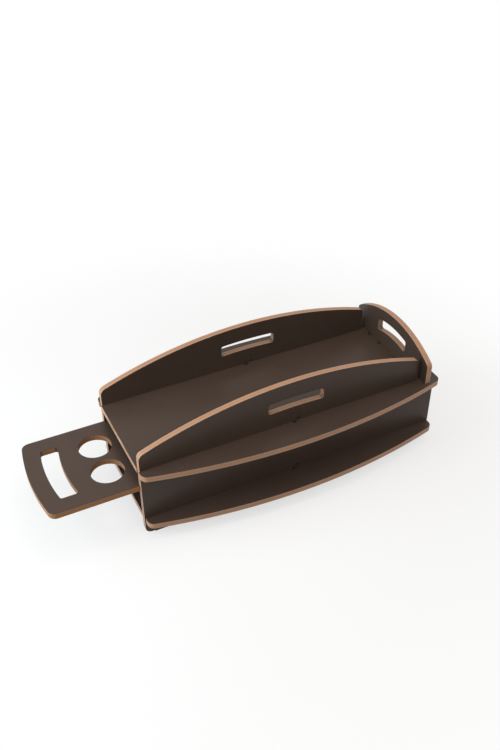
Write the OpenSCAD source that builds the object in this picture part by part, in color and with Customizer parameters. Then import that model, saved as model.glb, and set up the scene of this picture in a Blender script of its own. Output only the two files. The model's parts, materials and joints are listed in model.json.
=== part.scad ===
// Stand for a slim capsule machine, with two decks and a pull-out board that holds the capsules.
// Five boards of faced MDF slot into each other, and a sixth slides in grooves between the decks.
// The front, where the board pulls out, faces -Y. The stand rests on four pads at z = 0.

/* [Boards] */
// Thickness of the sheet that every board is cut from
sheet_t = 6.5; // [6:0.5:7]
// Play on each side where one board passes through another
lap_play = 0.1; // [0.05:0.05:0.2]
// Radius of the cutter that leaves the round reliefs in the inside corners
relief_r = 3; // [1.5:0.5:3]

/* [Decks] */
// Length of a deck, from its front edge to its rear edge
deck_len = 348; // [340:1:356]
// Width of a deck across the widest place of its bowed sides
deck_w = 182; // [176:1:188]
// Radius of the bowed sides
deck_bow_r = 700; // [650:10:900]
// Radius of a deck's four corners
deck_corner_r = 8; // [5:1:12]
// Distance from the top face of the bottom deck to the top face of the top deck
deck_pitch = 65; // [60:1:70]
// How far each end of the bottom deck lies inside the ends of the top deck
bottom_deck_inset = 2; // [0:0.5:3]

/* [Side panels] */
// Distance between the outer faces of the two side panels
panel_spacing = 119; // [112:1:126]
// How far a side panel's front edge lies behind the top deck's
panel_inset = 1; // [0:0.5:2]
// Where the upper part of a side panel ends, behind the top deck's front edge
panel_upper_end = 323; // [318:1:328]
// Where the lower part of a side panel ends, in front of the top deck's rear edge
panel_lower_gap = 1.5; // [1:0.5:4]
// Radius of the arched top edge
arch_r = 472; // [440:1:520]
// Height of the arch's crown above the top deck
arch_rise = 51.1; // [48:0.1:56]
// Radius where the arch meets the front edge
arch_front_r = 8; // [4:1:12]
// Radius where the arch meets the rear edge
arch_rear_r = 5; // [3:1:8]
// Height of the feet below the bottom deck
foot_h = 15; // [12:1:20]
// Radius of the lower corners of the feet
foot_corner_r = 7; // [4:1:9]
// Width of the arched gap between the front foot and the rear foot
foot_gap_w = 236; // [200:1:250]
// Height of that gap in its middle
foot_gap_h = 8; // [5:1:9]

/* [Handle slots] */
// Length of the slot in each side panel
side_slot_len = 64; // [56:1:72]
// Height of that slot
side_slot_h = 12.7; // [11:0.1:15]
// Height of its lower edge above the top deck, in its middle
side_slot_base = 19.4; // [18:0.1:21]
// Distance from the top deck's front edge to its middle
side_slot_mid = 172.6; // [165:0.1:183]
// Length of the slot in the back panel
back_slot_len = 53; // [48:1:58]
// Height of that slot
back_slot_h = 14; // [12:0.5:15]
// Height of its lower edge above the top deck, in its middle
back_slot_base = 18.6; // [17:0.1:20]
// Radius of the corners of these slots and of the finger slot
slot_corner_r = 2.5; // [2:0.5:4]

/* [Back panel] */
// Width of the back panel
back_w = 138; // [132:1:144]
// Radius of its arched top edge
back_arch_r = 118; // [105:1:125]
// Height of its crown above the top deck
back_rise = 46; // [44:0.5:48]
// Radius of its shoulders
back_shoulder_r = 6.5; // [4:0.5:9]
// Gap between the side panels' rear edges and the back panel's front face
back_gap = 4.5; // [1:0.1:6]
// Width of the two tabs that drop into the top deck
tab_w = 26; // [20:1:30]
// Distance from the middle of the stand to the middle of a tab
tab_x = 30; // [24:1:34]

/* [Pod board] */
// Length of the pod board from its bowed front to its rear edge
board_len = 330; // [310:1:332]
// Depth of the groove that each long edge of the board slides in
groove_depth = 2.5; // [2:0.1:3]
// Play between the board and each wall of its grooves
board_play = 0.25; // [0.2:0.05:0.4]
// Distance from the top deck's top face down to the board's top face
board_drop = 22.9; // [20:0.1:25]
// Radius of the bowed front edge
board_bow_r = 250; // [220:5:400]
// Radius of the board's front corners
board_corner_r = 8.5; // [5:0.5:11]
// Radius of the board's rear corners
board_rear_r = 3; // [2:0.5:5]
// How far the board stands proud of the top deck's front edge when it is pushed in
board_proud = 3; // [2:0.5:6]
// How far the board is pulled out from there in the rest pose
drawer_out = 91.6; // [0:0.1:200]

/* [Pod holes] */
// Radius of a hole that a capsule hangs in by its rim
hole_r = 17.3; // [16.5:0.1:17.8]
// Distance between the two rows of holes, centre to centre
hole_pitch_x = 41; // [39:0.5:44]
// Distance from one pair of holes to the next, centre to centre
hole_pitch_y = 45; // [40:0.5:46]
// Distance from the tip of the board to the centres of the first pair
first_hole = 74.1; // [70:0.1:78]
// Number of pairs
hole_pairs = 6; // [4:1:6]

/* [Board handle] */
// Length of the finger slot across the board
grip_len = 74.5; // [60:0.5:80]
// Width of the finger slot
grip_w = 18; // [15:1:20]
// Radius of its front edge, a little rounder than the bowed front
grip_arc_r = 190; // [170:5:300]
// Width of the bar in front of it, in the middle
grip_bar = 17.3; // [14:0.1:20]

/* [Foot pads] */
// Thickness of a pad
pad_h = 2; // [1:0.5:3]
// Width of a pad, across the edge of the foot
pad_w = 5.5; // [4:0.5:6]
// Length of a pad
pad_len = 34; // [20:1:40]
// Distance from a foot's end to the pad
pad_inset = 9; // [8:1:12]

/* [Hidden] */
$fn = 96;
eps = 1;       // how far a cutting shape runs past the face it opens
seam = 0.01;   // how much larger a rounding circle is, so that it crosses the edges it meets
relief_past = 0.2; // how far a relief runs past the end of its slot

face_brown = [0.34, 0.30, 0.28];
pad_black = [0.10, 0.10, 0.10];

// Heights above the surface that the stand rests on
foot_z = pad_h;
bottom_deck_z = foot_z + foot_h;
top_deck_z = bottom_deck_z + deck_pitch;
floor_z = top_deck_z + sheet_t;   // top face of the top deck, where the machine stands
board_z = floor_z - board_drop - sheet_t;

// Distances along the stand, counted from the top deck's front edge towards the rear
lap_y = deck_len / 2 - 1;     // where the decks' slots and the side panels' slots meet
panel_end = deck_len - panel_lower_gap;
back_y = panel_upper_end + back_gap;
groove_end = board_len - board_proud + board_play;
board_tip = -board_proud - drawer_out;

// The whole stand is moved so that its box, with the board as far out as it is, is centred on Y
mid_y = (deck_len + board_tip) / 2;

panel_out_x = panel_spacing / 2;
panel_in_x = panel_out_x - sheet_t;
board_w = 2 * (panel_in_x + groove_depth - board_play);

// Height of a circle of radius r, at distance x from its middle
function circle_height(r, x) = sqrt(pow(r, 2) - pow(x, 2));

// A radius r rounds the corner between an edge at distance "edge" from an arc's centre line
// and the inside of that arc, whose radius is R: how far that corner's centre lies from the
// arc's centre, measured along the edge.
function corner_reach(R, r, edge) = circle_height(R - r, edge - r);

// ---- plane shapes ----

// Circle that rounds a corner
module rounding(r) {
    circle(r = r + seam);
}

// Round relief on one side of a slot whose end lies at the origin and whose inside is at -Y
module relief() {
    translate([0, relief_past - relief_r]) circle(r = relief_r, $fn = 32);
}

// Slot that follows an arc about the origin and is centred on the Y axis, with rounded corners
// and with ends parallel to that axis
module upright_slot(r_in, r_out, len, corner) {
    corner_x = len / 2 - corner;
    low_y = circle_height(r_in + corner, corner_x);
    high_y = circle_height(r_out - corner, corner_x);
    difference() {
        intersection() {
            translate([-len / 2, 0]) square([len, r_out + eps]);
            circle(r = r_out, $fn = 720);
        }
        circle(r = r_in, $fn = 720);
        for (side = [-1, 1]) {
            arch_corner([side * corner_x, high_y], [0, 0], side);
            arch_corner([side * corner_x, low_y], [0, 0], side, -1);
        }
    }
    for (side = [-1, 1], y = [low_y, high_y]) translate([side * corner_x, y]) rounding(corner);
}

// Outline of a deck that ends "inset" short of the top deck's two ends: straight ends,
// bowed sides and four round corners
module deck_outline(inset) {
    half_len = deck_len / 2 - inset;
    bow_x = deck_bow_r - deck_w / 2;
    corner_x = corner_reach(deck_bow_r, deck_corner_r, half_len) - bow_x;
    corner_y = half_len - deck_corner_r;
    lean = atan2(corner_y, corner_x + bow_x);
    tangent = [deck_bow_r * cos(lean) - bow_x, deck_bow_r * sin(lean)];
    translate([0, deck_len / 2]) {
        difference() {
            intersection() {
                square([deck_w, 2 * half_len], center = true);
                translate([-bow_x, 0]) circle(r = deck_bow_r, $fn = 720);
                translate([bow_x, 0]) circle(r = deck_bow_r, $fn = 720);
            }
            for (side = [0, 1], end = [0, 1]) mirror([side, 0]) mirror([0, end])
                polygon([[corner_x, corner_y], tangent, [deck_w, tangent[1]],
                         [deck_w, deck_len], [corner_x, deck_len]]);
        }
        for (side = [-1, 1], end = [-1, 1])
            translate([side * corner_x, end * corner_y]) rounding(deck_corner_r);
    }
}

// Slot that a side panel fills, open at the front, with a relief in each inside corner
module deck_slot() {
    len = lap_y + lap_play;
    translate([panel_in_x - lap_play, -eps]) square([sheet_t + 2 * lap_play, len + eps]);
    for (x = [panel_in_x, panel_out_x]) translate([x, len]) relief();
}

// Mortise for one tab of the back panel
module tab_mortise() {
    w = tab_w + 2 * lap_play;
    translate([tab_x, back_y]) {
        translate([-w / 2, -lap_play]) square([w, sheet_t + 2 * lap_play]);
        for (side = [-1, 1], y = [0, sheet_t])
            translate([side * w / 2, y]) rotate(-side * 90) relief();
    }
}

// Slot that a deck fills, open at the rear, with its lower face at height z
module panel_slot(z) {
    start = lap_y - lap_play;
    translate([start, z - lap_play]) square([deck_len, sheet_t + 2 * lap_play]);
    for (edge_z = [z, z + sheet_t]) translate([start, edge_z]) rotate(90) relief();
}

// Side panel in its own plane: distance from the front along X, height along Y
module panel_outline() {
    mid = deck_len / 2;
    arch_z = floor_z + arch_rise - arch_r;
    front_z = arch_z + corner_reach(arch_r, arch_front_r, mid - panel_inset);
    rear_z = arch_z + corner_reach(arch_r, arch_rear_r, panel_upper_end - mid);
    front_x = panel_inset + arch_front_r;
    rear_x = panel_upper_end - arch_rear_r;
    // the part above the top deck, under the arch
    difference() {
        intersection() {
            translate([panel_inset, top_deck_z])
                square([panel_upper_end - panel_inset, arch_rise + sheet_t]);
            translate([mid, arch_z]) circle(r = arch_r, $fn = 720);
        }
        arch_corner([front_x, front_z], [mid, arch_z], -1);
        arch_corner([rear_x, rear_z], [mid, arch_z], 1);
    }
    translate([front_x, front_z]) rounding(arch_front_r);
    translate([rear_x, rear_z]) rounding(arch_rear_r);
    // the part from the top deck down to the feet
    difference() {
        translate([panel_inset, foot_z])
            square([panel_end - panel_inset, top_deck_z + sheet_t - foot_z]);
        for (x = [panel_inset, panel_end]) translate([x, foot_z])
            square(2 * foot_corner_r, center = true);
        gap_r = (pow(foot_gap_w / 2, 2) + pow(foot_gap_h, 2)) / (2 * foot_gap_h);
        translate([mid, foot_z + foot_gap_h - gap_r]) circle(r = gap_r, $fn = 720);
    }
    for (x = [panel_inset + foot_corner_r, panel_end - foot_corner_r])
        translate([x, foot_z + foot_corner_r]) rounding(foot_corner_r);
}

// What a rounded corner takes off a shape that an arch bounds: everything beyond the lines
// from the corner's centre to the edge and to the arch. side is -1 on the left and 1 on the
// right. way is 1 where the shape lies inside the arch and -1 where it lies outside.
module arch_corner(centre, arch_centre, side, way = 1) {
    run = centre - arch_centre;
    far = centre + way * run * 0.5;
    polygon([centre, far, [centre[0] + side * 200, far[1]], [centre[0] + side * 200, centre[1]]]);
}

// Back panel in its own plane: X across, Y up
module back_outline() {
    arch_z = floor_z + back_rise - back_arch_r;
    corner_x = back_w / 2 - back_shoulder_r;
    corner_z = arch_z + corner_reach(back_arch_r, back_shoulder_r, back_w / 2);
    difference() {
        intersection() {
            translate([-back_w / 2, floor_z]) square([back_w, back_rise]);
            translate([0, arch_z]) circle(r = back_arch_r, $fn = 360);
        }
        for (side = [-1, 1]) arch_corner([side * corner_x, corner_z], [0, arch_z], side);
    }
    for (side = [-1, 1]) {
        translate([side * corner_x, corner_z]) rounding(back_shoulder_r);
        translate([side * tab_x - tab_w / 2, top_deck_z]) square([tab_w, sheet_t + eps]);
    }
}

// Pod board, from its tip along Y, without its holes
module board_outline() {
    corner_x = board_w / 2 - board_corner_r;
    corner_y = board_bow_r - corner_reach(board_bow_r, board_corner_r, board_w / 2);
    rear_x = board_w / 2 - board_rear_r;
    rear_y = board_len - board_rear_r;
    difference() {
        intersection() {
            translate([-board_w / 2, 0]) square([board_w, board_len]);
            union() {
                translate([0, board_bow_r]) circle(r = board_bow_r, $fn = 720);
                translate([-board_w / 2, board_bow_r / 2]) square([board_w, board_len]);
            }
        }
        for (side = [0, 1]) mirror([side, 0]) {
            translate([rear_x, rear_y]) square(board_w);
            mirror([0, 1]) arch_corner([corner_x, -corner_y], [0, -board_bow_r], 1);
        }
    }
    for (side = [-1, 1]) {
        translate([side * corner_x, corner_y]) rounding(board_corner_r);
        translate([side * rear_x, rear_y]) rounding(board_rear_r);
    }
}

// ---- placing ----

// Moves a shape from the top deck's front edge to the stand's own frame
module placed() {
    translate([0, -mid_y, 0]) children();
}

// Stands a plane shape up along the stand, growing from x towards +X
module side_board(x) {
    placed() translate([x, 0, 0]) rotate([90, 0, 90]) linear_extrude(sheet_t) children();
}

// ---- the pieces ----

module top_deck() {
    color(face_brown) placed() translate([0, 0, top_deck_z]) linear_extrude(sheet_t) difference() {
        deck_outline(0);
        for (side = [0, 1]) mirror([side, 0]) {
            deck_slot();
            tab_mortise();
        }
    }
}

module bottom_deck() {
    color(face_brown) placed() translate([0, 0, bottom_deck_z]) linear_extrude(sheet_t) difference() {
        deck_outline(bottom_deck_inset);
        for (side = [0, 1]) mirror([side, 0]) deck_slot();
    }
}

module side_panel() {
    difference() {
        side_board(panel_in_x) difference() {
            panel_outline();
            panel_slot(top_deck_z);
            panel_slot(bottom_deck_z);
            slot_in = arch_r - arch_rise + side_slot_base;
            translate([side_slot_mid, floor_z + arch_rise - arch_r])
                upright_slot(slot_in, slot_in + side_slot_h, side_slot_len, slot_corner_r);
        }
        // groove for the pod board, open at the front and round at its rear end
        groove_h = sheet_t + 2 * board_play;
        placed() translate([panel_in_x - eps, 0, board_z - board_play]) {
            translate([0, -eps, 0]) cube([groove_depth + eps, groove_end + eps, groove_h]);
            translate([0, groove_end, groove_h / 2]) rotate([0, 90, 0])
                cylinder(r = groove_h / 2 + seam, h = groove_depth + eps);
        }
    }
}

module right_side_panel() {
    color(face_brown) side_panel();
}

module left_side_panel() {
    color(face_brown) mirror([1, 0, 0]) side_panel();
}

module back_panel() {
    slot_in = back_arch_r - back_rise + back_slot_base;
    color(face_brown) placed() translate([0, back_y + sheet_t, 0]) rotate([90, 0, 0])
        linear_extrude(sheet_t) difference() {
            back_outline();
            translate([0, floor_z + back_rise - back_arch_r])
                upright_slot(slot_in, slot_in + back_slot_h, back_slot_len, slot_corner_r);
        }
}

module pod_board() {
    color(face_brown) placed() translate([0, board_tip, board_z]) difference() {
        linear_extrude(sheet_t) difference() {
            board_outline();
            translate([0, grip_bar + grip_arc_r]) rotate(180)
                upright_slot(grip_arc_r - grip_w, grip_arc_r, grip_len, slot_corner_r);
        }
        for (side = [-1, 1], pair = [0 : hole_pairs - 1])
            translate([side * hole_pitch_x / 2, first_hole + pair * hole_pitch_y, -eps])
                cylinder(r = hole_r, h = sheet_t + 2 * eps);
    }
}

// Strip pad with round ends, stuck under one foot. side: 1 right, -1 left. end: 0 front, 1 rear.
module foot_pad(side, end) {
    start = end == 0 ? panel_inset + pad_inset : panel_end - pad_inset - pad_len;
    centre_x = side * (panel_in_x + sheet_t / 2);
    color(pad_black) placed() translate([centre_x, start, 0]) linear_extrude(pad_h) {
        translate([-pad_w / 2, pad_w / 2]) square([pad_w, pad_len - pad_w]);
        for (y = [pad_w / 2, pad_len - pad_w / 2]) translate([0, y]) circle(d = pad_w);
    }
}

module front_right_foot_pad() { foot_pad(1, 0); }
module front_left_foot_pad() { foot_pad(-1, 0); }
module rear_right_foot_pad() { foot_pad(1, 1); }
module rear_left_foot_pad() { foot_pad(-1, 1); }

top_deck();
bottom_deck();
right_side_panel();
left_side_panel();
back_panel();
pod_board();
front_right_foot_pad();
front_left_foot_pad();
rear_right_foot_pad();
rear_left_foot_pad();
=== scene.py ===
# %% [markdown]
# # A stand for a slim capsule machine, with a pull-out pod board
#
# The real thing is six boards of medium-density fibreboard (MDF). Each board is faced on both
# sides with a dark brown satin film, and a router has cut it to shape, so every edge shows the
# bare tan fibre. The boards slot into each other and stand on four thin rubber pads. Between the
# two decks one board slides out to the front and carries the capsules by their rims.
#
# This lesson dresses that stand in Blender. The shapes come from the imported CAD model, which is
# the fixed frame of everything here. What Blender adds is what a CAD program leaves out: edges
# that a sanding block has broken, and the two finishes of one board.

import json
from math import cos, pi, radians, sin

import bmesh
import bpy
from mathutils import Matrix, Vector


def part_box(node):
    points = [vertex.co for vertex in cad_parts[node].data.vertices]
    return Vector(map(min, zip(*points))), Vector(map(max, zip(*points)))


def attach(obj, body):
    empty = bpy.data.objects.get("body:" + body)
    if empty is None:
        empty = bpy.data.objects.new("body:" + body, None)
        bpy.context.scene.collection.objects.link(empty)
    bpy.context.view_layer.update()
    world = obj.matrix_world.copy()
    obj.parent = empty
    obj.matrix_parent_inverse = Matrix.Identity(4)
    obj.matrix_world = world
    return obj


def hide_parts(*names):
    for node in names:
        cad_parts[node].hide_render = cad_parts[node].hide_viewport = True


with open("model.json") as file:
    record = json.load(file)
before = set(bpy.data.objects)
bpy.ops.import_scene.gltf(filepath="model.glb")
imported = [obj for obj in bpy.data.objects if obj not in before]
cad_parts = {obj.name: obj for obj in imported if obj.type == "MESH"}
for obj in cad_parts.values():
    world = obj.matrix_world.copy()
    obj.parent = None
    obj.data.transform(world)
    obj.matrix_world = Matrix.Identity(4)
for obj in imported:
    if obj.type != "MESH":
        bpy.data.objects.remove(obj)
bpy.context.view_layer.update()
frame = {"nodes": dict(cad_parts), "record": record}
scene = bpy.context.scene
MM = 0.001  # Blender works in metres here, and the sizes below are written in millimetres

print("nodes:", ", ".join(sorted(frame["nodes"])))

# %% [markdown]
# ## The camera
#
# The camera comes first, because every choice after it is judged through it. It looks down on the
# right front corner of the stand. A camera can be turned by three angles or aimed with a
# constraint. Here its three directions are worked out from a heading and a tilt, because those
# two numbers say plainly where a viewer stands, and the small roll is then one more turn about
# the line of sight.

# %% Camera
CAMERA_HEADING = 63.85   # degrees round from the front towards the right
CAMERA_TILT = 37.2       # degrees down from level
CAMERA_ROLL = -0.27      # degrees
CAMERA_DISTANCE = 927.7 * MM
CAMERA_AIM = Vector((-19.1, 31.9, 98.6)) * MM
FRAME_LONG_SIDE = 36     # mm, as on small film
LENS = 41.0              # mm, on that frame


def make_camera():
    heading, tilt, roll = (radians(a) for a in (CAMERA_HEADING, CAMERA_TILT, CAMERA_ROLL))
    back = Vector((sin(heading) * cos(tilt), -cos(heading) * cos(tilt), sin(tilt)))
    level_right = Vector((cos(heading), sin(heading), 0))
    level_up = back.cross(level_right)
    right = level_right * cos(roll) + level_up * sin(roll)
    up = level_up * cos(roll) - level_right * sin(roll)
    data = bpy.data.cameras.new("Camera")
    data.lens = LENS
    data.sensor_width = FRAME_LONG_SIDE
    data.sensor_fit = "AUTO"
    camera = bpy.data.objects.new("Camera", data)
    turn = Matrix((right, up, back)).transposed()
    camera.matrix_world = Matrix.Translation(CAMERA_AIM + back * CAMERA_DISTANCE) @ turn.to_4x4()
    scene.collection.objects.link(camera)
    return camera


scene.camera = make_camera()
print("camera stands at, mm:", [round(v / MM) for v in scene.camera.matrix_world.translation])

# %% [markdown]
# ## A helper for node trees
#
# Materials, shader node groups and Geometry Nodes trees are all graphs of nodes. Written out by
# hand each node takes three or four lines. This helper adds one node, sets what it is given and
# joins each input to whatever feeds it, so that a tree below reads as a list of steps. It takes
# any kind of node, because the three kinds of tree share one way of adding and linking them.

# %% Helper for node trees
def put(tree, kind, feeds=None, **settings):
    """Adds a node. feeds maps an input's name or number to a plain value or an output socket."""
    node = tree.nodes.new(kind)
    for key, value in settings.items():
        setattr(node, key, value)
    for key, value in (feeds or {}).items():
        if isinstance(value, bpy.types.NodeSocket):
            tree.links.new(value, node.inputs[key])
        else:
            node.inputs[key].default_value = value
    return node


# %% [markdown]
# Most nodes below are of a few sorts, so each sort gets a short function of its own: one sum, a
# soft step, noise of a given size, a swing about the middle of that noise, and a mix of two
# values or colours. The alternative is to wire each one by hand, which is slower to read and
# easier to get wrong.

# %% Helpers for sums, steps and noise
def calc(tree, operation, *values, clamp=False):
    """One Math node, and its result."""
    return put(tree, "ShaderNodeMath", dict(enumerate(values)), operation=operation,
               use_clamp=clamp).outputs[0]


def smooth(tree, value, low, high, out_low=0.0, out_high=1.0):
    """Where value goes from low to high, the result goes softly from out_low to out_high."""
    feeds = {"Value": value, "From Min": low, "From Max": high,
             "To Min": out_low, "To Max": out_high}
    return put(tree, "ShaderNodeMapRange", feeds, interpolation_type="SMOOTHSTEP").outputs[0]


def noise(tree, vector, grain, detail=2.0, roughness=0.5):
    """Noise whose blobs are about as large as grain, in metres. Its middle is 0.5."""
    feeds = {"Vector": vector, "Scale": 1 / grain, "Detail": detail, "Roughness": roughness}
    return put(tree, "ShaderNodeTexNoise", feeds).outputs[0]


def swing(tree, value, amount):
    """How far value lies from its middle, 0.5, times amount."""
    return calc(tree, "MULTIPLY", calc(tree, "SUBTRACT", value, 0.5), amount)


# %% Helpers for mixes and colours
# the numbers of a Mix node's sockets, which share one name for every type of data
VALUE_A, VALUE_B = 2, 3
COLOUR_A, COLOUR_B, COLOUR_OUT = 6, 7, 2


def mix_value(tree, share, first, second):
    """From first to second as share goes from 0 to 1."""
    feeds = {"Factor": share, VALUE_A: first, VALUE_B: second}
    return put(tree, "ShaderNodeMix", feeds).outputs[0]


def mix_colour(tree, share, first, second, blend="MIX"):
    """The same for two colours."""
    return put(tree, "ShaderNodeMix", {"Factor": share, COLOUR_A: first, COLOUR_B: second},
               data_type="RGBA", blend_type=blend).outputs[COLOUR_OUT]


def shaded(tree, colour, level):
    """The colour made lighter or darker by level, which leaves it as it is where it is 1."""
    grey = put(tree, "ShaderNodeCombineColor", {0: level, 1: level, 2: level}).outputs[0]
    return mix_colour(tree, 1.0, colour, grey, "MULTIPLY")


# %% [markdown]
# ## A helper for node groups
#
# A node group is a tree that other trees use as one node. It shows only the sockets that it is
# given here, so their names are the group's manual. Geometry Nodes trees are node groups as well,
# and their sockets become the settings of the modifier that runs them.

# %% Helper for node groups
FLOAT, COLOUR, VECTOR = "NodeSocketFloat", "NodeSocketColor", "NodeSocketVector"


def new_group(kind, name, inputs, outputs):
    """A node group with named sockets: the tree, its input sockets by name and its output node."""
    tree = bpy.data.node_groups.new(name, kind)
    for direction, sockets in (("INPUT", inputs), ("OUTPUT", outputs)):
        for label, (socket_type, default) in sockets.items():
            socket = tree.interface.new_socket(label, in_out=direction, socket_type=socket_type)
            if default is not None:
                socket.default_value = default
    given = put(tree, "NodeGroupInput")
    return tree, {s.name: s for s in given.outputs if s.name}, put(tree, "NodeGroupOutput")


def described(tree):
    """The tree itself, after a line that says what it takes."""
    inputs = [s.name for s in tree.interface.items_tree if s.in_out == "INPUT"]
    print(f"{tree.name}: {len(tree.nodes)} nodes, takes {', '.join(inputs)}")
    return tree


def new_material(name):
    """A material with an empty tree, and that tree."""
    material = bpy.data.materials.new(name)
    material.use_nodes = True
    material.node_tree.nodes.clear()
    return material, material.node_tree


# %% [markdown]
# ## Where in the sheet a point lies
#
# Everything that a faced board shows depends on one number: how deep a point lies below the
# nearer of the two faces. At depth nought there is film, and below it there is fibre, on the
# outer edges, in the slots, in the round reliefs that the cutter left, and in the grooves alike.
# Painting those places one by one would be slow and would miss some. A node group that measures
# the depth finds them all, because a Mapping node in each material lays the board flat first.

# %% Node group: depth in the sheet
SHEET = 6.5 * MM


def depth_group():
    tree, given, result = new_group(
        "ShaderNodeTree", "Depth in the sheet",
        {"Vector": (VECTOR, None), "Thickness": (FLOAT, SHEET)},
        {"Depth": (FLOAT, None)})
    height = put(tree, "ShaderNodeSeparateXYZ", {0: given["Vector"]}).outputs[2]
    from_above = calc(tree, "SUBTRACT", given["Thickness"], height)
    nearer = calc(tree, "MINIMUM", height, from_above)
    tree.links.new(calc(tree, "MAXIMUM", nearer, 0.0), result.inputs["Depth"])
    return tree


DEPTH = described(depth_group())

# %% [markdown]
# ## The film's torn rim
#
# A router tears a melamine film a little where it leaves the cut. The line between brown and tan
# is therefore not ruled but wanders by a few hundredths of a millimetre, with a small chip here
# and there. This group turns the depth into a mask, 1 on the film and 0 on the fibre, and shifts
# the line with two sizes of noise. A mask could be painted by hand as well, but one that is
# worked out from the depth fits every edge of every board.

# %% Node group: film mask
TEAR_SIZE, CHIP_SIZE = 0.5 * MM, 5 * MM   # size of the two noises
CHIP_FROM, CHIP_TO = 0.66, 0.76           # a chip is out where the second noise rises through this
THINNEST_FILM = 0.03 * MM
LINE_BLUR = 0.02 * MM


def film_group():
    tree, given, result = new_group(
        "ShaderNodeTree", "Film mask",
        {"Vector": (VECTOR, None), "Depth": (FLOAT, 0.0), "Film": (FLOAT, 0.14 * MM),
         "Wander": (FLOAT, 0.08 * MM), "Chips": (FLOAT, 0.2 * MM)},
        {"Mask": (FLOAT, None)})
    fine = calc(tree, "SUBTRACT", noise(tree, given["Vector"], TEAR_SIZE, detail=3.0), 0.5)
    rare = smooth(tree, noise(tree, given["Vector"], CHIP_SIZE), CHIP_FROM, CHIP_TO)
    line = calc(tree, "MULTIPLY_ADD", fine, given["Wander"], given["Film"])
    line = calc(tree, "SUBTRACT", line, calc(tree, "MULTIPLY", rare, given["Chips"]))
    line = calc(tree, "MAXIMUM", line, THINNEST_FILM)
    above = calc(tree, "SUBTRACT", line, given["Depth"])
    tree.links.new(smooth(tree, above, -LINE_BLUR, LINE_BLUR), result.inputs["Mask"])
    return tree


FILM = described(film_group())

# %% [markdown]
# ## The brown film
#
# Furniture film is printed paper in resin. It has no grain here, only a plain dark brown, but a
# plain colour is never quite plain: the print is a little cloudy, the press leaves a fine pearl
# texture, and hands and cloths leave patches that shine a little more. One flat colour would be
# simpler, and would look like cast plastic. So there are three sizes of noise, from centimetres
# down to half a millimetre. A few specks of pale dust lie on top, each about half a millimetre
# across. They come from a Voronoi texture, which scatters points, because noise would give them
# ragged outlines.

# %% Node group: brown film
CLOUD_SIZE, PATCH_SIZE, PEARL_SIZE = 55 * MM, 9 * MM, 0.55 * MM
PATCH_SHADE = 0.08                      # how much the patches change the colour
PATCH_SHINE, CLOUD_SHINE = 0.12, 0.14   # how much patches and clouds change the roughness
DUST_APART = 16 * MM
DUST_FROM, DUST_TO = 0.012, 0.02        # a speck's full part and its rim, as shares of DUST_APART
DUST_COLOUR, DUST_SHARE = (0.35, 0.33, 0.31, 1), 0.35


def brown_group():
    tree, given, result = new_group(
        "ShaderNodeTree", "Brown film",
        {"Vector": (VECTOR, None), "Colour": (COLOUR, (0.070, 0.047, 0.036, 1)),
         "Cloud": (FLOAT, 0.10), "Grain": (FLOAT, 0.10), "Sheen": (FLOAT, 0.37)},
        {"Colour": (COLOUR, None), "Roughness": (FLOAT, None), "Height": (FLOAT, None)})
    clouds = noise(tree, given["Vector"], CLOUD_SIZE, detail=3.0)
    patches = noise(tree, given["Vector"], PATCH_SIZE, detail=4.0)
    pearl = noise(tree, given["Vector"], PEARL_SIZE)
    wide = swing(tree, clouds, given["Cloud"])
    close = swing(tree, pearl, given["Grain"])
    middle = swing(tree, patches, PATCH_SHADE)
    level = calc(tree, "ADD", calc(tree, "ADD", wide, close), calc(tree, "ADD", middle, 1.0))
    print_colour = shaded(tree, given["Colour"], level)
    dust = put(tree, "ShaderNodeTexVoronoi", {"Vector": given["Vector"], "Scale": 1 / DUST_APART})
    speck = smooth(tree, dust.outputs["Distance"], DUST_FROM, DUST_TO, 1.0, 0.0)
    dusty = mix_colour(tree, calc(tree, "MULTIPLY", speck, DUST_SHARE), print_colour, DUST_COLOUR)
    tree.links.new(dusty, result.inputs["Colour"])
    smudge = swing(tree, patches, PATCH_SHINE)
    worn = swing(tree, clouds, CLOUD_SHINE)
    rough = calc(tree, "ADD", calc(tree, "ADD", given["Sheen"], smudge), worn)
    tree.links.new(rough, result.inputs["Roughness"])
    tree.links.new(pearl, result.inputs["Height"])
    return tree


BROWN = described(brown_group())

# %% [markdown]
# ## The bare fibre
#
# MDF is wood fibre pressed with resin. It is pressed harder near its faces, so a cut edge is
# paler and smoother at its two rims and more open and orange in the middle. Fibres show as short
# flecks along the sheet, and the cutter leaves faint upright ripples. A picture of MDF would show
# where it repeats, so both are made of noise with its space squeezed: the sheet's own height is
# shrunk or stretched before the noise reads it. Tight corners and the walls of cut-outs are
# darkened with patchy painted shade, and one input of the group says how much. A fast cutter
# also rubs the fibre to a faint polish, which shows where an edge is seen at a low angle. The pod
# board's edges get a second set of colours, darker and more orange.

# %% Node group: bare fibre
# the plain edges, and the darker, more orange edges of the pod board
PLAIN_EDGES = {"Core": (0.44, 0.225, 0.12, 1), "Rim": (0.46, 0.285, 0.19, 1), "Polish": 0.7}
DARKER_EDGES = {"Core": (0.33, 0.155, 0.06, 1), "Rim": (0.35, 0.175, 0.075, 1), "Polish": 0.2}
RIM_DEPTH, CORE_DEPTH = 0.2 * MM, 2.4 * MM   # the colour goes from rim to core between these
FLECK_SIZE, RIPPLE_SIZE, DRIFT_SIZE = 1.1 * MM, 0.9 * MM, 38 * MM
FLECK_SQUEEZE, RIPPLE_STRETCH = 3.5, 0.06    # what the height is multiplied by before the noise
RIPPLE_SHADE, DRIFT_SHADE = 0.16, 0.22       # how much ripples and drift change the colour
DENSE, FLUFFY = 0.3, 0.7                     # the flecks' noise, from dense fibre to raised fibre
ROUGH_DENSE, ROUGH_FLUFFY = 0.55, 0.72
POLISH_LEFT = 0.6                            # share of the polish on raised fibre
SHADE_PATCH_SIZE, SHADE_LEAST, SHADE_MOST = 2.5 * MM, 0.55, 0.9   # painted shade is patchy between these
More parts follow.
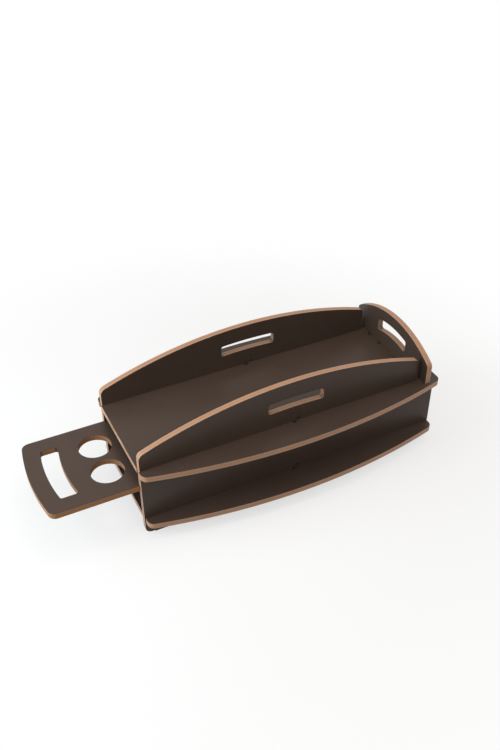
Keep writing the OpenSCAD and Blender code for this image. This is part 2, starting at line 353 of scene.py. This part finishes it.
SHADE_NOISE_FROM, SHADE_NOISE_TO = 0.3, 0.6                # the patchy shade's noise, where the painted shade is least and most
RIPPLE_RELIEF = 0.5                          # height of the ripples, beside that of the flecks


def squeezed(tree, vector, height):
    """The vector with its height multiplied."""
    return put(tree, "ShaderNodeVectorMath", {0: vector, 1: (1, 1, height)},
               operation="MULTIPLY").outputs[0]


def fibre_group():
    tree, given, result = new_group(
        "ShaderNodeTree", "Bare fibre",
        {"Vector": (VECTOR, None), "Depth": (FLOAT, 0.0), "Painted Shade": (FLOAT, 0.0),
         "Core": (COLOUR, PLAIN_EDGES["Core"]), "Rim": (COLOUR, PLAIN_EDGES["Rim"]),
         "Painted Shade Colour": (COLOUR, (0.05, 0.022, 0.011, 1)), "Fleck": (FLOAT, 0.3),
         "Polish": (FLOAT, PLAIN_EDGES["Polish"])},
        {"Colour": (COLOUR, None), "Roughness": (FLOAT, None), "Height": (FLOAT, None),
         "Polish": (FLOAT, None)})
    middle = smooth(tree, given["Depth"], RIM_DEPTH, CORE_DEPTH)
    body = mix_colour(tree, middle, given["Rim"], given["Core"])
    flat = squeezed(tree, given["Vector"], FLECK_SQUEEZE)
    upright = squeezed(tree, given["Vector"], RIPPLE_STRETCH)
    flecks = noise(tree, flat, FLECK_SIZE, detail=4.0, roughness=0.65)
    ripples = noise(tree, upright, RIPPLE_SIZE)
    drift = noise(tree, given["Vector"], DRIFT_SIZE)
    dark = swing(tree, flecks, given["Fleck"])
    band = swing(tree, ripples, RIPPLE_SHADE)
    slow = swing(tree, drift, DRIFT_SHADE)
    level = calc(tree, "ADD", calc(tree, "ADD", dark, band), calc(tree, "ADD", slow, 1.0))
    fibre_colour = shaded(tree, body, level)
    # patchy painted shade in tight corners and on the walls of cut-outs, in the dark colour given
    shade_noise = noise(tree, given["Vector"], SHADE_PATCH_SIZE)
    patchy_shade = smooth(tree, shade_noise, SHADE_NOISE_FROM, SHADE_NOISE_TO, SHADE_LEAST, SHADE_MOST)
    shade_amount = calc(tree, "MULTIPLY", given["Painted Shade"], patchy_shade)
    tree.links.new(mix_colour(tree, shade_amount, fibre_colour, given["Painted Shade Colour"]), result.inputs["Colour"])
    rough = smooth(tree, flecks, DENSE, FLUFFY, ROUGH_DENSE, ROUGH_FLUFFY)
    tree.links.new(rough, result.inputs["Roughness"])
    left = smooth(tree, flecks, DENSE, FLUFFY, 1.0, POLISH_LEFT)
    tree.links.new(calc(tree, "MULTIPLY", given["Polish"], left), result.inputs["Polish"])
    flecks_relief = calc(tree, "MULTIPLY", flecks, middle)
    relief = calc(tree, "MULTIPLY_ADD", ripples, RIPPLE_RELIEF, flecks_relief)
    tree.links.new(relief, result.inputs["Height"])
    return tree


FIBRE = described(fibre_group())

# %% [markdown]
# ## One material for each board
#
# The three groups meet in one material. Each board gets its own copy, because its sheet lies at
# its own place: the Mapping node turns the board's object coordinates so that its thickness runs
# along Z and its lower face is at nought. It also slides the pattern along, so that no two boards
# show the same clouds, as no two boards cut from a real sheet do. One material for all boards
# would be shorter, but a Mapping node can lay only one of them flat.

# %% Lay a board's pattern flat
LAID_FLAT = {"X": (0, radians(-90), 0), "Y": (radians(90), 0, 0), "Z": (0, 0, 0)}
ASLANT = 0.7   # the pattern slides this far sideways for each step that it slides along


def flat_place(tree, node, across, slide):
    """Object coordinates with the board laid flat: its thickness runs along Z, from nought up."""
    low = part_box(node)[0]["XYZ".index(across)]
    place = put(tree, "ShaderNodeTexCoord").outputs["Object"]
    shift = (slide, slide * ASLANT, -low)
    return put(tree, "ShaderNodeMapping",
               {"Vector": place, "Location": shift, "Rotation": LAID_FLAT[across]},
               vector_type="POINT").outputs[0]


# %% Material: faced MDF
RELIEF, RELIEF_SHARE = 0.05 * MM, 0.6   # how high the noise stands, and how much of it shows
FILM_RELIEF = 0.25                      # height of the film's pearl, beside that of the fibre
ALL_OVER = {"IOR": 1.3, "Coat Roughness": 0.4, "Coat IOR": 1.5}   # what doesn't vary over a board


def faced_mdf(node, across, slide, edges=PLAIN_EDGES):
    """Finish of one board. across is the axis of its thickness, and slide shifts its pattern."""
    material, tree = new_material("faced mdf " + node.replace("_", " "))
    flat = flat_place(tree, node, across, slide)
    depth = put(tree, "ShaderNodeGroup", {"Vector": flat, "Thickness": SHEET},
                node_tree=DEPTH).outputs[0]
    mask = put(tree, "ShaderNodeGroup", {"Vector": flat, "Depth": depth},
               node_tree=FILM).outputs[0]
    brown = put(tree, "ShaderNodeGroup", {"Vector": flat}, node_tree=BROWN).outputs
    # how much painted shade lies at each point, from the board's point attribute
    painted_shade = put(tree, "ShaderNodeAttribute", attribute_name="painted_shade").outputs["Fac"]
    fibre = put(tree, "ShaderNodeGroup",
                {"Vector": flat, "Depth": depth, "Painted Shade": painted_shade, **edges},
                node_tree=FIBRE).outputs
    colour = mix_colour(tree, mask, fibre["Colour"], brown["Colour"])
    rough = mix_value(tree, mask, fibre["Roughness"], brown["Roughness"])
    low_relief = calc(tree, "MULTIPLY", brown["Height"], FILM_RELIEF)
    height = mix_value(tree, mask, fibre["Height"], low_relief)
    bump = put(tree, "ShaderNodeBump",
               {"Strength": RELIEF_SHARE, "Distance": RELIEF, "Height": height})
    polish = calc(tree, "MULTIPLY", calc(tree, "SUBTRACT", 1.0, mask), fibre["Polish"])
    shader = put(tree, "ShaderNodeBsdfPrincipled",
                 {"Base Color": colour, "Roughness": rough, "Normal": bump.outputs[0],
                  "Coat Weight": polish, **ALL_OVER})
    put(tree, "ShaderNodeOutputMaterial", {"Surface": shader.outputs[0]})
    print(f"{material.name}: {len(tree.nodes)} nodes")
    return material


# %% [markdown]
# ## Boards with broken edges
#
# The CAD boards have edges like razors. Real ones are broken with fine paper, and it is that
# narrow round that catches the light and separates a board from a drawing of one. A CAD mesh is
# loose triangles, so a copy is first welded and its flat faces are made whole. A Bevel modifier
# then rounds each edge that turns by more than 40 degrees, and Weighted Normal keeps the wide
# faces looking flat. The rounding only takes material away, so a board stays inside the CAD
# model's box.

# %% Boards with broken edges
EASE = 0.3 * MM           # radius of a broken edge
EASE_STEPS = 3
SHARP = radians(40)       # an edge that turns by more than this gets broken
LEVEL = radians(0.1)      # triangles that turn by less than this are one flat face
WELD = 0.002 * MM         # points closer than this are one point


def whole_faces(mesh):
    """The mesh, welded, with each flat face in as few polygons as it can have."""
    shape = bmesh.new()
    shape.from_mesh(mesh)
    bmesh.ops.remove_doubles(shape, verts=shape.verts, dist=WELD)
    bmesh.ops.dissolve_limit(shape, angle_limit=LEVEL, verts=shape.verts, edges=shape.edges)
    shape.verts.index_update()
    corners = [tuple(v.co) for v in shape.verts]
    faces = [[v.index for v in f.verts] for f in shape.faces]
    shape.free()
    clean = bpy.data.meshes.new(mesh.name)
    clean.from_pydata(corners, [], faces)
    return clean


def finish_board(raw, material=None, ease=EASE):
    """Rounds the edges of raw and returns the result as a plain mesh. raw is removed."""
    for polygon in raw.data.polygons:
        polygon.use_smooth = True
    if material:
        raw.data.materials.append(material)
    bevel = raw.modifiers.new("broken edges", "BEVEL")
    bevel.width, bevel.segments = ease, EASE_STEPS
    bevel.limit_method, bevel.angle_limit = "ANGLE", SHARP
    bevel.miter_outer = "MITER_ARC"
    flat = raw.modifiers.new("flat faces", "WEIGHTED_NORMAL")
    flat.keep_sharp = True
    return evaluated_mesh(raw)


def evaluated_mesh(raw):
    """The mesh that raw's modifiers make, and raw itself is removed."""
    bpy.context.view_layer.update()
    finished = raw.evaluated_get(bpy.context.evaluated_depsgraph_get())
    mesh = bpy.data.meshes.new_from_object(finished)
    bpy.data.objects.remove(raw)
    return mesh


# %% [markdown]
# A finished mesh becomes a piece in one more step. A closed shape has no open edges, so the
# number of open edges is printed as a test.

# %% From a mesh to a piece
def new_object(name, mesh):
    made = bpy.data.objects.new(name, mesh)
    scene.collection.objects.link(made)
    return made


def open_edges(mesh):
    """How many edges of a mesh don't join exactly two faces. A closed shape has none."""
    count = {}
    for polygon in mesh.polygons:
        for key in polygon.edge_keys:
            count[key] = count.get(key, 0) + 1
    return sum(1 for n in count.values() if n != 2)


def show_piece(name, mesh, body, slot, *nodes):
    """A finished mesh as a piece that stands for its CAD nodes and rides on a body."""
    mesh.name = name
    piece = new_object(name, mesh)
    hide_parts(*nodes)
    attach(piece, body)
    print(f"{name}: {len(mesh.polygons)} faces, {open_edges(mesh)} open edges")
    return piece


# %% [markdown]
# The painted shade in tight corners needs to know how tightly the wall turns, which a shader
# can't tell. So each finished board gets one number at each point, which says how much painted
# shade lies there. It looks at the edges that run from face to face, takes the angle between the
# two strips of wall that meet there, and divides it by their width. That is the wall's curvature:
# near 0 on the long arches, and 1 / 3 mm in the corners of radius 3 mm.
#
# The walls of slots and holes also get a little painted shade all round. So the walls are first
# sorted into closed loops, and every loop but the one round the board's outside gets a low
# amount of painted shade to start with.

# %% Walls and their loops
PAINTED_SHADE_FROM, PAINTED_SHADE_TO = 1 / (12 * MM), 1 / (4 * MM)   # curvature where the painted shade starts and is full
CUT_OUT_PAINTED_SHADE = 0.3
PLUMB = 0.999      # cosine above which an edge runs straight through the sheet
LEANING = 0.5      # a face that leans less than this towards the sheet's faces is part of a wall


def wall_loops(shape, axis):
    """The faces that stand across the sheet, as one set for each closed loop, the largest last."""
    left = {f for f in shape.faces if abs(f.normal.dot(axis)) < LEANING}
    loops = []
    while left:
        loop, waiting = set(), [left.pop()]
        while waiting:
            face = waiting.pop()
            loop.add(face)
            beside = {f for e in face.edges for f in e.link_faces} & left
            left -= beside
            waiting.extend(beside)
        loops.append(loop)
    return sorted(loops, key=lambda loop: sum(f.calc_area() for f in loop))


# %% Painted shade in corners
def paint_corner_shade(mesh, across):
    """Adds a point attribute: how much painted shade darkens the wall there, 0 to 1."""
    axis = Vector((across == "X", across == "Y", across == "Z"))
    shade_values = mesh.attributes.new("painted_shade", "FLOAT", "POINT")
    shape = bmesh.new()
    shape.from_mesh(mesh)
    cut_outs = wall_loops(shape, axis)[:-1]
    for v in {v for loop in cut_outs for f in loop for v in f.verts}:
        shade_values.data[v.index].value = CUT_OUT_PAINTED_SHADE
    for edge in shape.edges:
        run = edge.verts[1].co - edge.verts[0].co
        if run.length < SHEET / 2 or abs(run.dot(axis)) < PLUMB * run.length:
            continue
        if len(edge.link_faces) != 2 or edge.is_convex:
            continue
        strip = sum(f.calc_area() for f in edge.link_faces) / 2 / run.length
        curvature = edge.calc_face_angle(0.0) / strip
        shade_amount = min(1.0, max(0.0, (curvature - PAINTED_SHADE_FROM) / (PAINTED_SHADE_TO - PAINTED_SHADE_FROM)))
        for v in edge.verts:
            shade_values.data[v.index].value = max(shade_amount, shade_values.data[v.index].value)
    shape.free()
    print(f"walls of {len(cut_outs)} cut-outs browned")
    return mesh


# %% [markdown]
# ## The five fixed boards
#
# Two decks, two side panels and the back panel are finished alike, so one loop makes them. They
# could be modelled anew, but their CAD shapes are exact, and a copy of each keeps every slot
# where its neighbour expects it. Each board's pattern is slid by its own distance.

# %% The boards of the stand
BOARDS = {  # node: axis of its thickness, slide of its pattern in metres
    "top_deck": ("Z", 0.31),
    "bottom_deck": ("Z", 1.17),
    "right_side_panel": ("X", 0.59),
    "left_side_panel": ("X", 2.03),
    "back_panel": ("Y", 1.61),
}
for node, (across, slide) in BOARDS.items():
    raw = new_object(node + "_raw", whole_faces(frame["nodes"][node].data))
    mesh = paint_corner_shade(finish_board(raw, faced_mdf(node, across, slide)), across)
    show_piece(node + "_board", mesh, "stand", "faced_mdf", node)

# %% [markdown]
# ## The pod board
#
# This is the sliding board, with two rows of round holes. A hole repeated at a fixed pitch is
# what Geometry Nodes are for: one circle is copied to the points of a grid, the board's outline
# and the circles are filled as one shape with holes in it, and the shape is drawn up to the
# sheet's thickness. The outline and the finger slot are taken from the CAD board's own edges, so
# they can't drift from it, and the grid's sizes are read from the record of the holes.

# %% A helper for Geometry Nodes: slab
def slab(tree, curves, thickness, place, material):
    """Fills closed curves, draws the face up to a closed slab, and places and coats it."""
    fill = put(tree, "GeometryNodeFillCurve", {"Curve": curves}, mode="NGONS").outputs[0]
    raised = put(tree, "GeometryNodeExtrudeMesh",
                 {"Mesh": fill, "Offset Scale": thickness, "Individual": False})
    underside = put(tree, "GeometryNodeFlipFaces", {0: fill})
    both = put(tree, "GeometryNodeJoinGeometry")
    tree.links.new(underside.outputs[0], both.inputs[0])
    tree.links.new(raised.outputs["Mesh"], both.inputs[0])
    welded = put(tree, "GeometryNodeMergeByDistance",
                 {"Geometry": both.outputs[0], "Distance": WELD})
    placed = put(tree, "GeometryNodeTransform",
                 {"Geometry": welded.outputs[0], "Translation": place})
    real = put(tree, "GeometryNodeRealizeInstances", {0: placed.outputs[0]})
    return put(tree, "GeometryNodeSetMaterial",
               {"Geometry": real.outputs[0], "Material": material}).outputs[0]


# %% Geometry Nodes tree: perforated board
CIRCLE_STEPS = 96


def perforated_board_tree():
    tree, given, result = new_group(
        "GeometryNodeTree", "Perforated board",
        {"Outline": ("NodeSocketGeometry", None), "Thickness": (FLOAT, SHEET),
         "Hole Radius": (FLOAT, 17.3 * MM), "Rows Apart": (FLOAT, 41 * MM),
         "Pairs Apart": (FLOAT, 45 * MM), "Pairs": ("NodeSocketInt", 6),
         "Middle Of Holes": (VECTOR, None), "Lower Face": (VECTOR, None),
         "Material": ("NodeSocketMaterial", None)},
        {"Board": ("NodeSocketGeometry", None)})
    last_pair = calc(tree, "SUBTRACT", given["Pairs"], 1.0)
    along = calc(tree, "MULTIPLY", last_pair, given["Pairs Apart"])
    grid = put(tree, "GeometryNodeMeshGrid",
               {"Size X": given["Rows Apart"], "Size Y": along, "Vertices X": 2,
                "Vertices Y": given["Pairs"]})
    placed = put(tree, "GeometryNodeTransform",
                 {"Geometry": grid.outputs["Mesh"], "Translation": given["Middle Of Holes"]})
    circle = put(tree, "GeometryNodeCurvePrimitiveCircle",
                 {"Resolution": CIRCLE_STEPS, "Radius": given["Hole Radius"]})
    holes = put(tree, "GeometryNodeInstanceOnPoints",
                {"Points": placed.outputs[0], "Instance": circle.outputs[0]})
    real_holes = put(tree, "GeometryNodeRealizeInstances", {0: holes.outputs[0]})
    rim = put(tree, "GeometryNodeMeshToCurve", {0: given["Outline"]})
    curves = put(tree, "GeometryNodeJoinGeometry")
    tree.links.new(real_holes.outputs[0], curves.inputs[0])
    tree.links.new(rim.outputs[0], curves.inputs[0])
    board = slab(tree, curves.outputs[0], given["Thickness"], given["Lower Face"],
                 given["Material"])
    tree.links.new(board, result.inputs["Board"])
    return tree


PERFORATED_BOARD = described(perforated_board_tree())

# %% [markdown]
# The tree runs as a modifier on a mesh of bare edges. Those are the edges round the lower face of
# the CAD board, without the holes, which the tree makes itself.

# %% The pod board's outline and holes
def run_tree(raw, tree, values):
    """Adds tree to raw as a modifier. values names inputs, which are set by their identifiers."""
    modifier = raw.modifiers.new(tree.name, "NODES")
    modifier.node_group = tree
    named = {s.name: s.identifier for s in tree.interface.items_tree if s.in_out == "INPUT"}
    for name, value in values.items():
        modifier[named[name]] = value
    return raw


def hole_mounts():
    """Centres and radius of the pod holes, as the record gives them."""
    mounts = [m for m in frame["record"]["mounts"] if m["name"].startswith("pod_hole")]
    return [Vector(m["pos_m"]) for m in mounts], mounts[0]["dims"]["r_mm"] * MM


def outline_mesh(node, skip, reach):
    """Edges round the lower face of a flat node, without the loops round the points in skip."""
    clean = whole_faces(frame["nodes"][node].data)
    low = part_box(node)[0].z
    shape = bmesh.new()
    shape.from_mesh(clean)
    under = [f for f in shape.faces if all(abs(v.co.z - low) < WELD for v in f.verts)]
    rim = [e for e in shape.edges if sum(f in under for f in e.link_faces) == 1]
    kept = [e for e in rim
            if all(min((v.co - p).xy.length for p in skip) > reach for v in e.verts)]
    order = {}
    for edge in kept:
        for v in edge.verts:
            order.setdefault(v, len(order))
    lines = [[order[v] for v in e.verts] for e in kept]
    points = [(v.co.x, v.co.y, 0) for v in order]
    shape.free()
    mesh = bpy.data.meshes.new(node + " outline")
    mesh.from_pydata(points, lines, [])
    return mesh


centres, hole_radius = hole_mounts()
rows = sorted({round(c.x, 6) for c in centres})
pairs = sorted({round(c.y, 6) for c in centres})
print("holes:", len(rows), "rows of", len(pairs), "with radius, mm:", round(hole_radius / MM, 2))

# %% Build the pod board
PAST_HOLE = 0.5 * MM   # how far beyond a hole's radius an edge still belongs to it
raw = new_object("pod_board_raw", outline_mesh("pod_board", centres, hole_radius + PAST_HOLE))
run_tree(raw, PERFORATED_BOARD, {
    "Thickness": SHEET, "Hole Radius": hole_radius, "Rows Apart": rows[-1] - rows[0],
    "Pairs Apart": pairs[1] - pairs[0], "Pairs": len(pairs),
    "Middle Of Holes": (0, (pairs[0] + pairs[-1]) / 2, 0),
    "Lower Face": (0, 0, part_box("pod_board")[0].z),
    "Material": faced_mdf("pod_board", "Z", 2.71, DARKER_EDGES)})
show_piece("sliding_pod_board", paint_corner_shade(finish_board(raw), "Z"), "drawer", "faced_mdf",
           "pod_board")

# %% [markdown]
# ## The foot pads
#
# Under each foot is a thin strip of black rubber with round ends. Four of the same thing are
# again a Geometry Nodes tree, run once for each foot so that every pad stays a piece of its own.
# Rubber is matt, nearly black, and has a skin like very fine orange peel. A bevelled box would do
# for the body of a pad, but a rounded rectangle drawn as a curve gives the half-round ends at
# once.

# %% Material: pad rubber
PEEL_SIZE, PEEL_RELIEF, PEEL_SHARE = 0.7 * MM, 0.06 * MM, 0.5
PEEL_PIT, PEEL_TOP = 0.3, 0.7        # the peel's noise, in its pits and on its tops
ROUGH_PIT, ROUGH_TOP = 0.62, 0.8
DUSTY_SIZE = 6 * MM
DUSTY_FROM, DUSTY_TO = 0.45, 0.75    # dust lies where the second noise rises through this
CLEAN_RUBBER, DUSTY_RUBBER = (0.012, 0.012, 0.012, 1), (0.03, 0.028, 0.026, 1)


def pad_rubber():
    material, tree = new_material("pad rubber")
    place = put(tree, "ShaderNodeTexCoord").outputs["Object"]
    peel = noise(tree, place, PEEL_SIZE, detail=3.0)
    dusty = smooth(tree, noise(tree, place, DUSTY_SIZE, detail=3.0), DUSTY_FROM, DUSTY_TO)
    colour = mix_colour(tree, dusty, CLEAN_RUBBER, DUSTY_RUBBER)
    rough = smooth(tree, peel, PEEL_PIT, PEEL_TOP, ROUGH_PIT, ROUGH_TOP)
    bump = put(tree, "ShaderNodeBump",
               {"Strength": PEEL_SHARE, "Distance": PEEL_RELIEF, "Height": peel})
    shader = put(tree, "ShaderNodeBsdfPrincipled",
                 {"Base Color": colour, "Roughness": rough, "Normal": bump.outputs[0]})
    put(tree, "ShaderNodeOutputMaterial", {"Surface": shader.outputs[0]})
    return material


# %% Geometry Nodes tree: foot pad
END_ROUND = 0.4999   # nearly half the width, so that the two corners of an end don't meet
END_STEPS = 12


def foot_pad_tree():
    tree, given, result = new_group(
        "GeometryNodeTree", "Foot pad",
        {"Geometry": ("NodeSocketGeometry", None), "Length": (FLOAT, 34 * MM),
         "Width": (FLOAT, 5.5 * MM), "Thickness": (FLOAT, 2 * MM), "Middle": (VECTOR, None),
         "Material": ("NodeSocketMaterial", None)},
        {"Pad": ("NodeSocketGeometry", None)})
    outline = put(tree, "GeometryNodeCurvePrimitiveQuadrilateral",
                  {"Width": given["Width"], "Height": given["Length"]})
    end_radius = calc(tree, "MULTIPLY", given["Width"], END_ROUND)
    rounded = put(tree, "GeometryNodeFilletCurve",
                  {"Curve": outline.outputs[0], "Radius": end_radius, "Count": END_STEPS},
                  mode="POLY")
    pad = slab(tree, rounded.outputs[0], given["Thickness"], given["Middle"], given["Material"])
    tree.links.new(pad, result.inputs["Pad"])
    return tree


FOOT_PAD = described(foot_pad_tree())

# %% Build the foot pads
PAD_ROUND = 0.45 * MM   # a soft edge, wider than a board's
rubber = pad_rubber()
for node in sorted(n for n in frame["nodes"] if n.endswith("foot_pad")):
    low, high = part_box(node)
    raw = new_object(node + "_raw", bpy.data.meshes.new(node))
    run_tree(raw, FOOT_PAD, {
        "Length": high.y - low.y, "Width": high.x - low.x, "Thickness": high.z - low.z,
        "Middle": ((low.x + high.x) / 2, (low.y + high.y) / 2, low.z), "Material": rubber})
    show_piece(node + "_strip", finish_board(raw, ease=PAD_ROUND), "stand", "pad_rubber", node)

# %% [markdown]
# ## The floor
#
# The floor is a plain pale disc. Near the stand it is a matt surface that takes a shadow, and
# further out it fades into the white of the surroundings, so that no horizon shows. A white world
# without a floor would be simpler, but the stand would seem to float. To the camera and to gloss
# the floor is nearly white, but the light that it throws back on the boards is that of a plain
# grey one.

# %% Floor
FLOOR_RADIUS, FLOOR_STEPS = 6.0, 96
FADE_FROM, FADE_TO = 0.22, 0.55   # metres from the middle of the stand
NEAR_WHITE = 0.65                 # share of plain white in the floor that is seen near the stand
PALE = (0.93, 0.93, 0.93, 1)      # the floor as it is seen
GREY = (0.33, 0.32, 0.31, 1)      # the floor as it lights the boards
WHITE = (1, 1, 1, 1)


def seen(tree):
    """1 for the camera and for reflections, and 0 for light on its way between surfaces."""
    path = put(tree, "ShaderNodeLightPath").outputs
    looked_at = calc(tree, "ADD", path["Is Camera Ray"], path["Is Glossy Ray"])
    return calc(tree, "ADD", looked_at, path["Is Transmission Ray"], clamp=True)


def floor_material():
    material, tree = new_material("pale floor")
    place = put(tree, "ShaderNodeTexCoord").outputs["Object"]
    away = put(tree, "ShaderNodeVectorMath", {0: place}, operation="LENGTH").outputs["Value"]
    far = smooth(tree, away, FADE_FROM, FADE_TO, NEAR_WHITE, 1.0)
    looked_at = seen(tree)
    colour = mix_colour(tree, looked_at, GREY, PALE)
    matt = put(tree, "ShaderNodeBsdfDiffuse", {"Color": colour})
    white = put(tree, "ShaderNodeEmission", {"Color": WHITE, "Strength": 1.0})
    share = calc(tree, "MULTIPLY", far, looked_at)
    both = put(tree, "ShaderNodeMixShader", {0: share, 1: matt.outputs[0], 2: white.outputs[0]})
    put(tree, "ShaderNodeOutputMaterial", {"Surface": both.outputs[0]})
    return material


# %% Lay the floor
disc = bmesh.new()
bmesh.ops.create_circle(disc, cap_ends=True, segments=FLOOR_STEPS, radius=FLOOR_RADIUS)
floor_mesh = bpy.data.meshes.new("floor")
disc.to_mesh(floor_mesh)
disc.free()
floor_mesh.materials.append(floor_material())
floor = new_object("floor", floor_mesh)

# %% [markdown]
# ## Light
#
# The stand is lit as in a room by a tall window. Two cool area lamps stand for the window, one
# above the other, and the low one brings out the bare front edges. Two warmer and weaker ones,
# from the right and from nearly straight above, stand for the room, and leave the space under
# each ledge dark. A last one behind the stand is there for a camera that goes round it. Lamps of
# a metre or so are used, rather than points or a sun, because their soft shadows look like those
# of a room.

# %% Light
def area_lamp(name, size, level, colour, heading, height, distance, aim=(0, 0, 60 * MM)):
    """A square lamp aimed at a point. On a face turned to it there, white shows as level."""
    data = bpy.data.lights.new(name, "AREA")
    data.shape, data.size, data.color = "SQUARE", size, colour
    data.energy = level * (pi * distance) ** 2
    lamp = bpy.data.objects.new(name, data)
    a, e = radians(heading), radians(height)
    back = Vector((sin(a) * cos(e), -cos(a) * cos(e), sin(e)))
    lamp.location = Vector(aim) + back * distance
    lamp.rotation_euler = back.to_track_quat("Z", "Y").to_euler()
    scene.collection.objects.link(lamp)
    print(f"{name}: {data.energy:.1f} W")


area_lamp("window", 0.8, 0.6, (0.9, 0.97, 1.0), heading=-10, height=32, distance=1.15)
area_lamp("low window", 0.5, 0.85, (0.8, 0.93, 1.0), heading=-8, height=6, distance=0.75,
          aim=(0, -130 * MM, 60 * MM))
area_lamp("room side", 1.2, 0.25, (1.0, 0.96, 0.92), heading=75, height=45, distance=2.0)
area_lamp("room above", 1.0, 0.3, (1.0, 0.9, 0.79), heading=100, height=80, distance=1.5)
area_lamp("room behind", 1.2, 0.28, (0.97, 0.98, 1.0), heading=172, height=20, distance=1.8)

# %% [markdown]
# The world is white to the camera and to gloss, as the far floor is, and lights the boards far
# less.

# %% World
ROOM_LEVEL = 0.15
world = bpy.data.worlds.new("room")
scene.world = world
world.use_nodes = True
tree = world.node_tree
tree.nodes.clear()
strength = smooth(tree, seen(tree), 0.0, 1.0, ROOM_LEVEL, 1.0)
room = put(tree, "ShaderNodeBackground", {"Color": WHITE, "Strength": strength})
put(tree, "ShaderNodeOutputWorld", {"Surface": room.outputs[0]})
scene.view_settings.view_transform = "Standard"
print("view transform:", scene.view_settings.view_transform)
